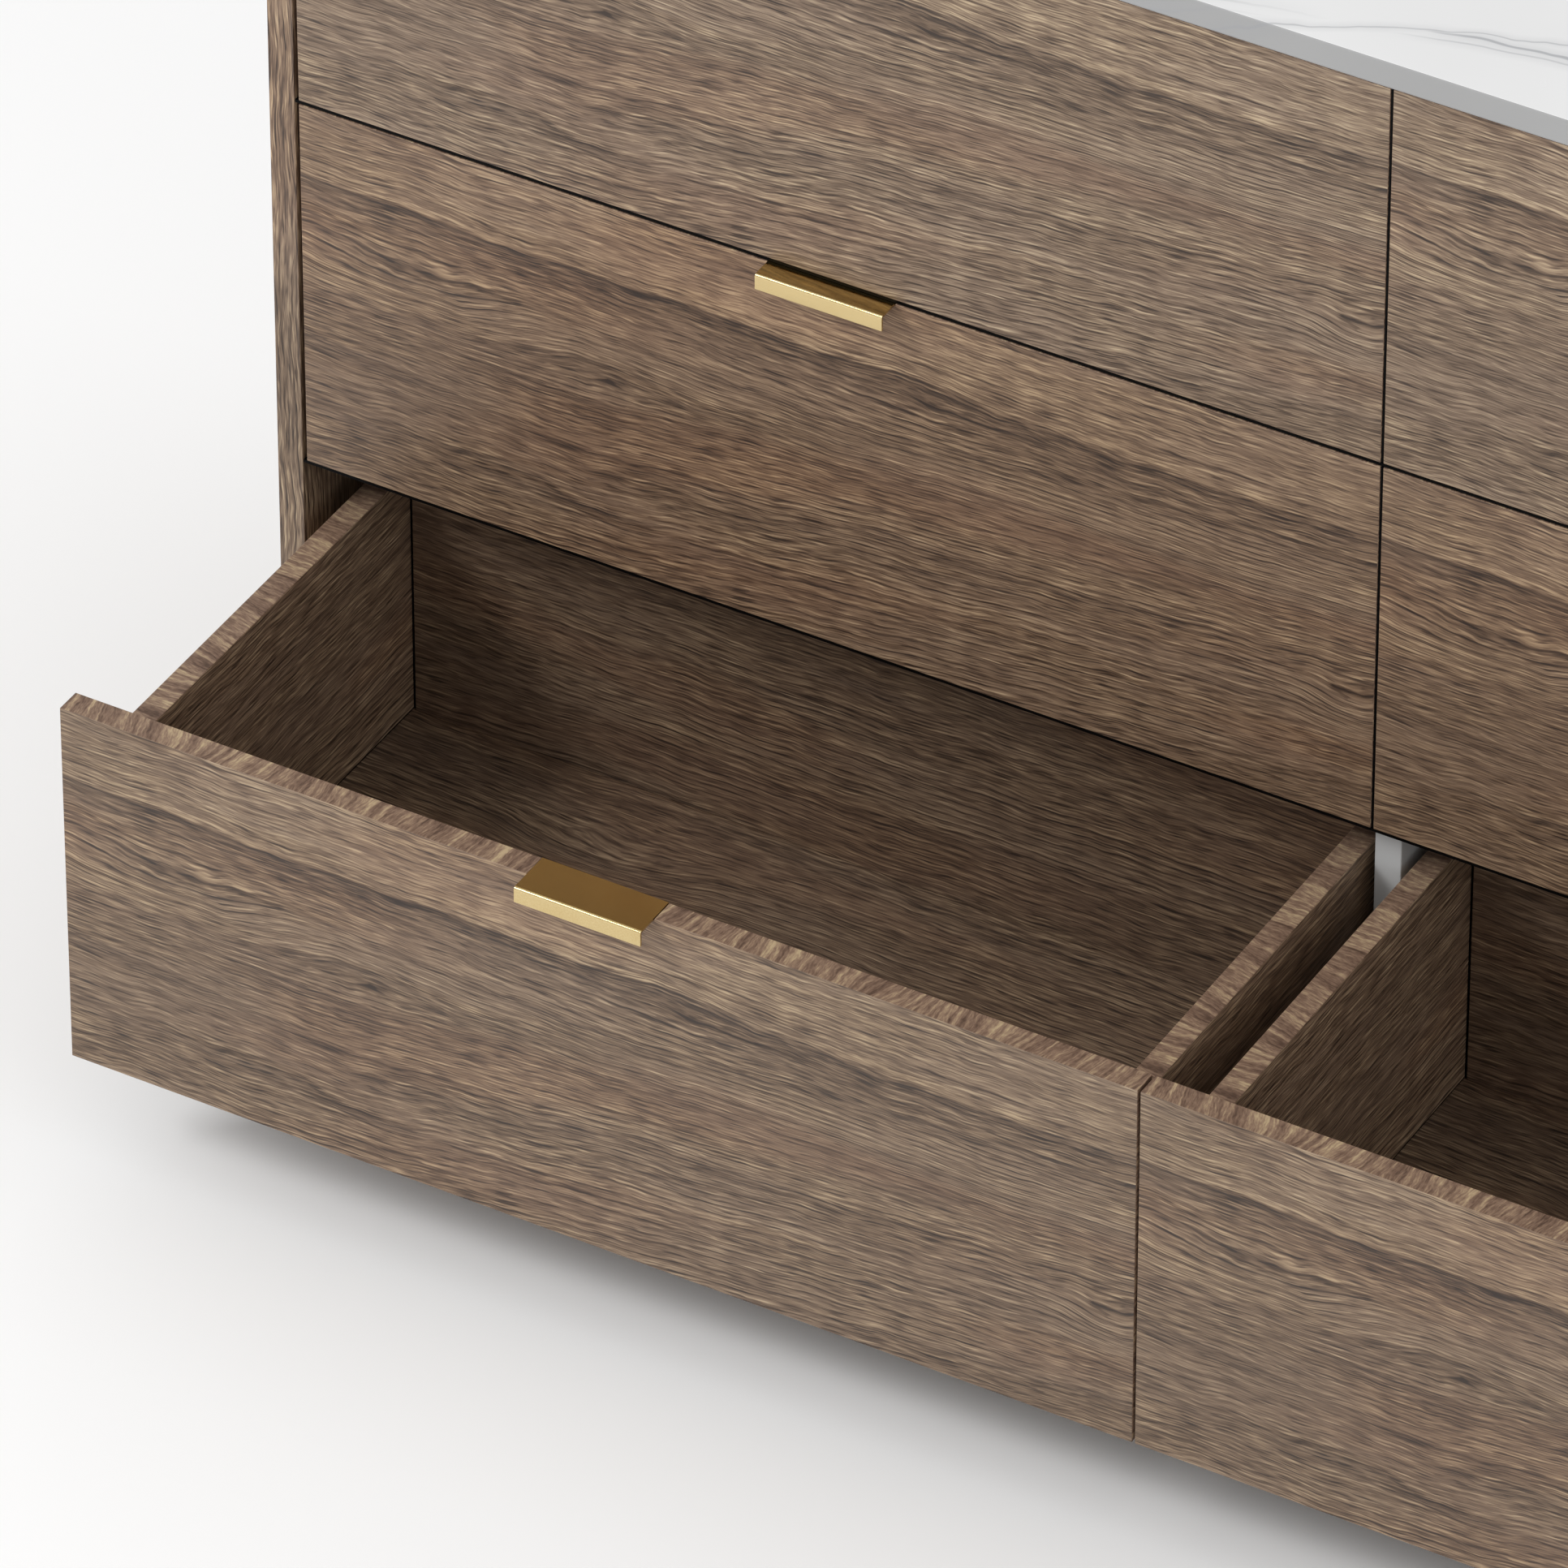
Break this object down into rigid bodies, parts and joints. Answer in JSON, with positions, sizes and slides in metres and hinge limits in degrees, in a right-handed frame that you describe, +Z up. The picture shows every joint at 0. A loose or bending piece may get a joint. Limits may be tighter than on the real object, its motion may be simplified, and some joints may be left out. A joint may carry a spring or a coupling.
{
  "type": "bathroom vanity cabinet",
  "caption": "Freestanding walnut bathroom vanity cabinet with stacked sliding drawers in two columns, brass edge pulls and a thin white stone counter.",
  "frame": {"origin": "on the floor at the middle of the cabinet's footprint, at the middle of the centre foot's base", "axes": "+X to the right as seen from the front, +Y to the wall, +Z up; the drawers open towards -Y"},
  "size_m": [1.53, 0.781, 0.9],
  "materials": {
    "walnut_veneer": "grey-brown walnut veneer, grain along the board, satin lacquer",
    "walnut_interior": "walnut-look board, grain along the board, satin",
    "solid_walnut": "dark walnut, satin oil",
    "grey_board": "light grey laminated board, semi-gloss",
    "white_stone": "white marble-look slab with thin grey veins, polished",
    "brass": "satin gold brass",
    "zinc_steel": "zinc-plated sheet steel"
  },
  "bodies": {
    "carcass": {"left_side_panel": "walnut_veneer", "right_side_panel": "walnut_veneer", "centre_divider": "grey_board", "cabinet_floor": "walnut_interior", "back_panel": "walnut_interior", "front_top_rail": "walnut_interior", "countertop": "white_stone", "front_left_foot": "solid_walnut", "front_right_foot": "solid_walnut", "rear_left_foot": "solid_walnut", "rear_right_foot": "solid_walnut", "centre_foot": "solid_walnut", "bottom_left_left_rail": "zinc_steel", "bottom_left_right_rail": "zinc_steel", "bottom_right_left_rail": "zinc_steel", "bottom_right_right_rail": "zinc_steel", "middle_left_left_rail": "zinc_steel", "middle_left_right_rail": "zinc_steel", "middle_right_left_rail": "zinc_steel", "middle_right_right_rail": "zinc_steel", "top_left_left_rail": "zinc_steel", "top_left_right_rail": "zinc_steel", "top_right_left_rail": "zinc_steel", "top_right_right_rail": "zinc_steel"},
    "bottom_left_drawer": {"bottom_left_front": "walnut_veneer", "bottom_left_left_side": "walnut_interior", "bottom_left_right_side": "walnut_interior", "bottom_left_back": "walnut_interior", "bottom_left_bottom": "walnut_interior", "bottom_left_pull": "brass"},
    "bottom_right_drawer": {"bottom_right_front": "walnut_veneer", "bottom_right_left_side": "walnut_interior", "bottom_right_right_side": "walnut_interior", "bottom_right_back": "walnut_interior", "bottom_right_bottom": "walnut_interior", "bottom_right_pull": "brass"},
    "middle_left_drawer": {"middle_left_front": "walnut_veneer", "middle_left_left_side": "walnut_interior", "middle_left_right_side": "walnut_interior", "middle_left_back": "walnut_interior", "middle_left_bottom": "walnut_interior", "middle_left_pull": "brass"},
    "middle_right_drawer": {"middle_right_front": "walnut_veneer", "middle_right_left_side": "walnut_interior", "middle_right_right_side": "walnut_interior", "middle_right_back": "walnut_interior", "middle_right_bottom": "walnut_interior", "middle_right_pull": "brass"},
    "top_left_drawer": {"top_left_front": "walnut_veneer", "top_left_left_side": "walnut_interior", "top_left_right_side": "walnut_interior", "top_left_back": "walnut_interior", "top_left_bottom": "walnut_interior", "top_left_pull": "brass"},
    "top_right_drawer": {"top_right_front": "walnut_veneer", "top_right_left_side": "walnut_interior", "top_right_right_side": "walnut_interior", "top_right_back": "walnut_interior", "top_right_bottom": "walnut_interior", "top_right_pull": "brass"}
  },
  "joints": [
    {"name": "bottom_left_slide", "type": "slide", "parent": "carcass", "child": "bottom_left_drawer", "axis": [0, -1, 0], "range_m": [-0.2855, 0.0045]},
    {"name": "bottom_right_slide", "type": "slide", "parent": "carcass", "child": "bottom_right_drawer", "axis": [0, -1, 0], "range_m": [-0.2855, 0.0045]},
    {"name": "middle_left_slide", "type": "slide", "parent": "carcass", "child": "middle_left_drawer", "axis": [0, -1, 0], "range_m": [0, 0.29]},
    {"name": "middle_right_slide", "type": "slide", "parent": "carcass", "child": "middle_right_drawer", "axis": [0, -1, 0], "range_m": [0, 0.29]},
    {"name": "top_left_slide", "type": "slide", "parent": "carcass", "child": "top_left_drawer", "axis": [0, -1, 0], "range_m": [0, 0.29]},
    {"name": "top_right_slide", "type": "slide", "parent": "carcass", "child": "top_right_drawer", "axis": [0, -1, 0], "range_m": [0, 0.29]}
  ]
}
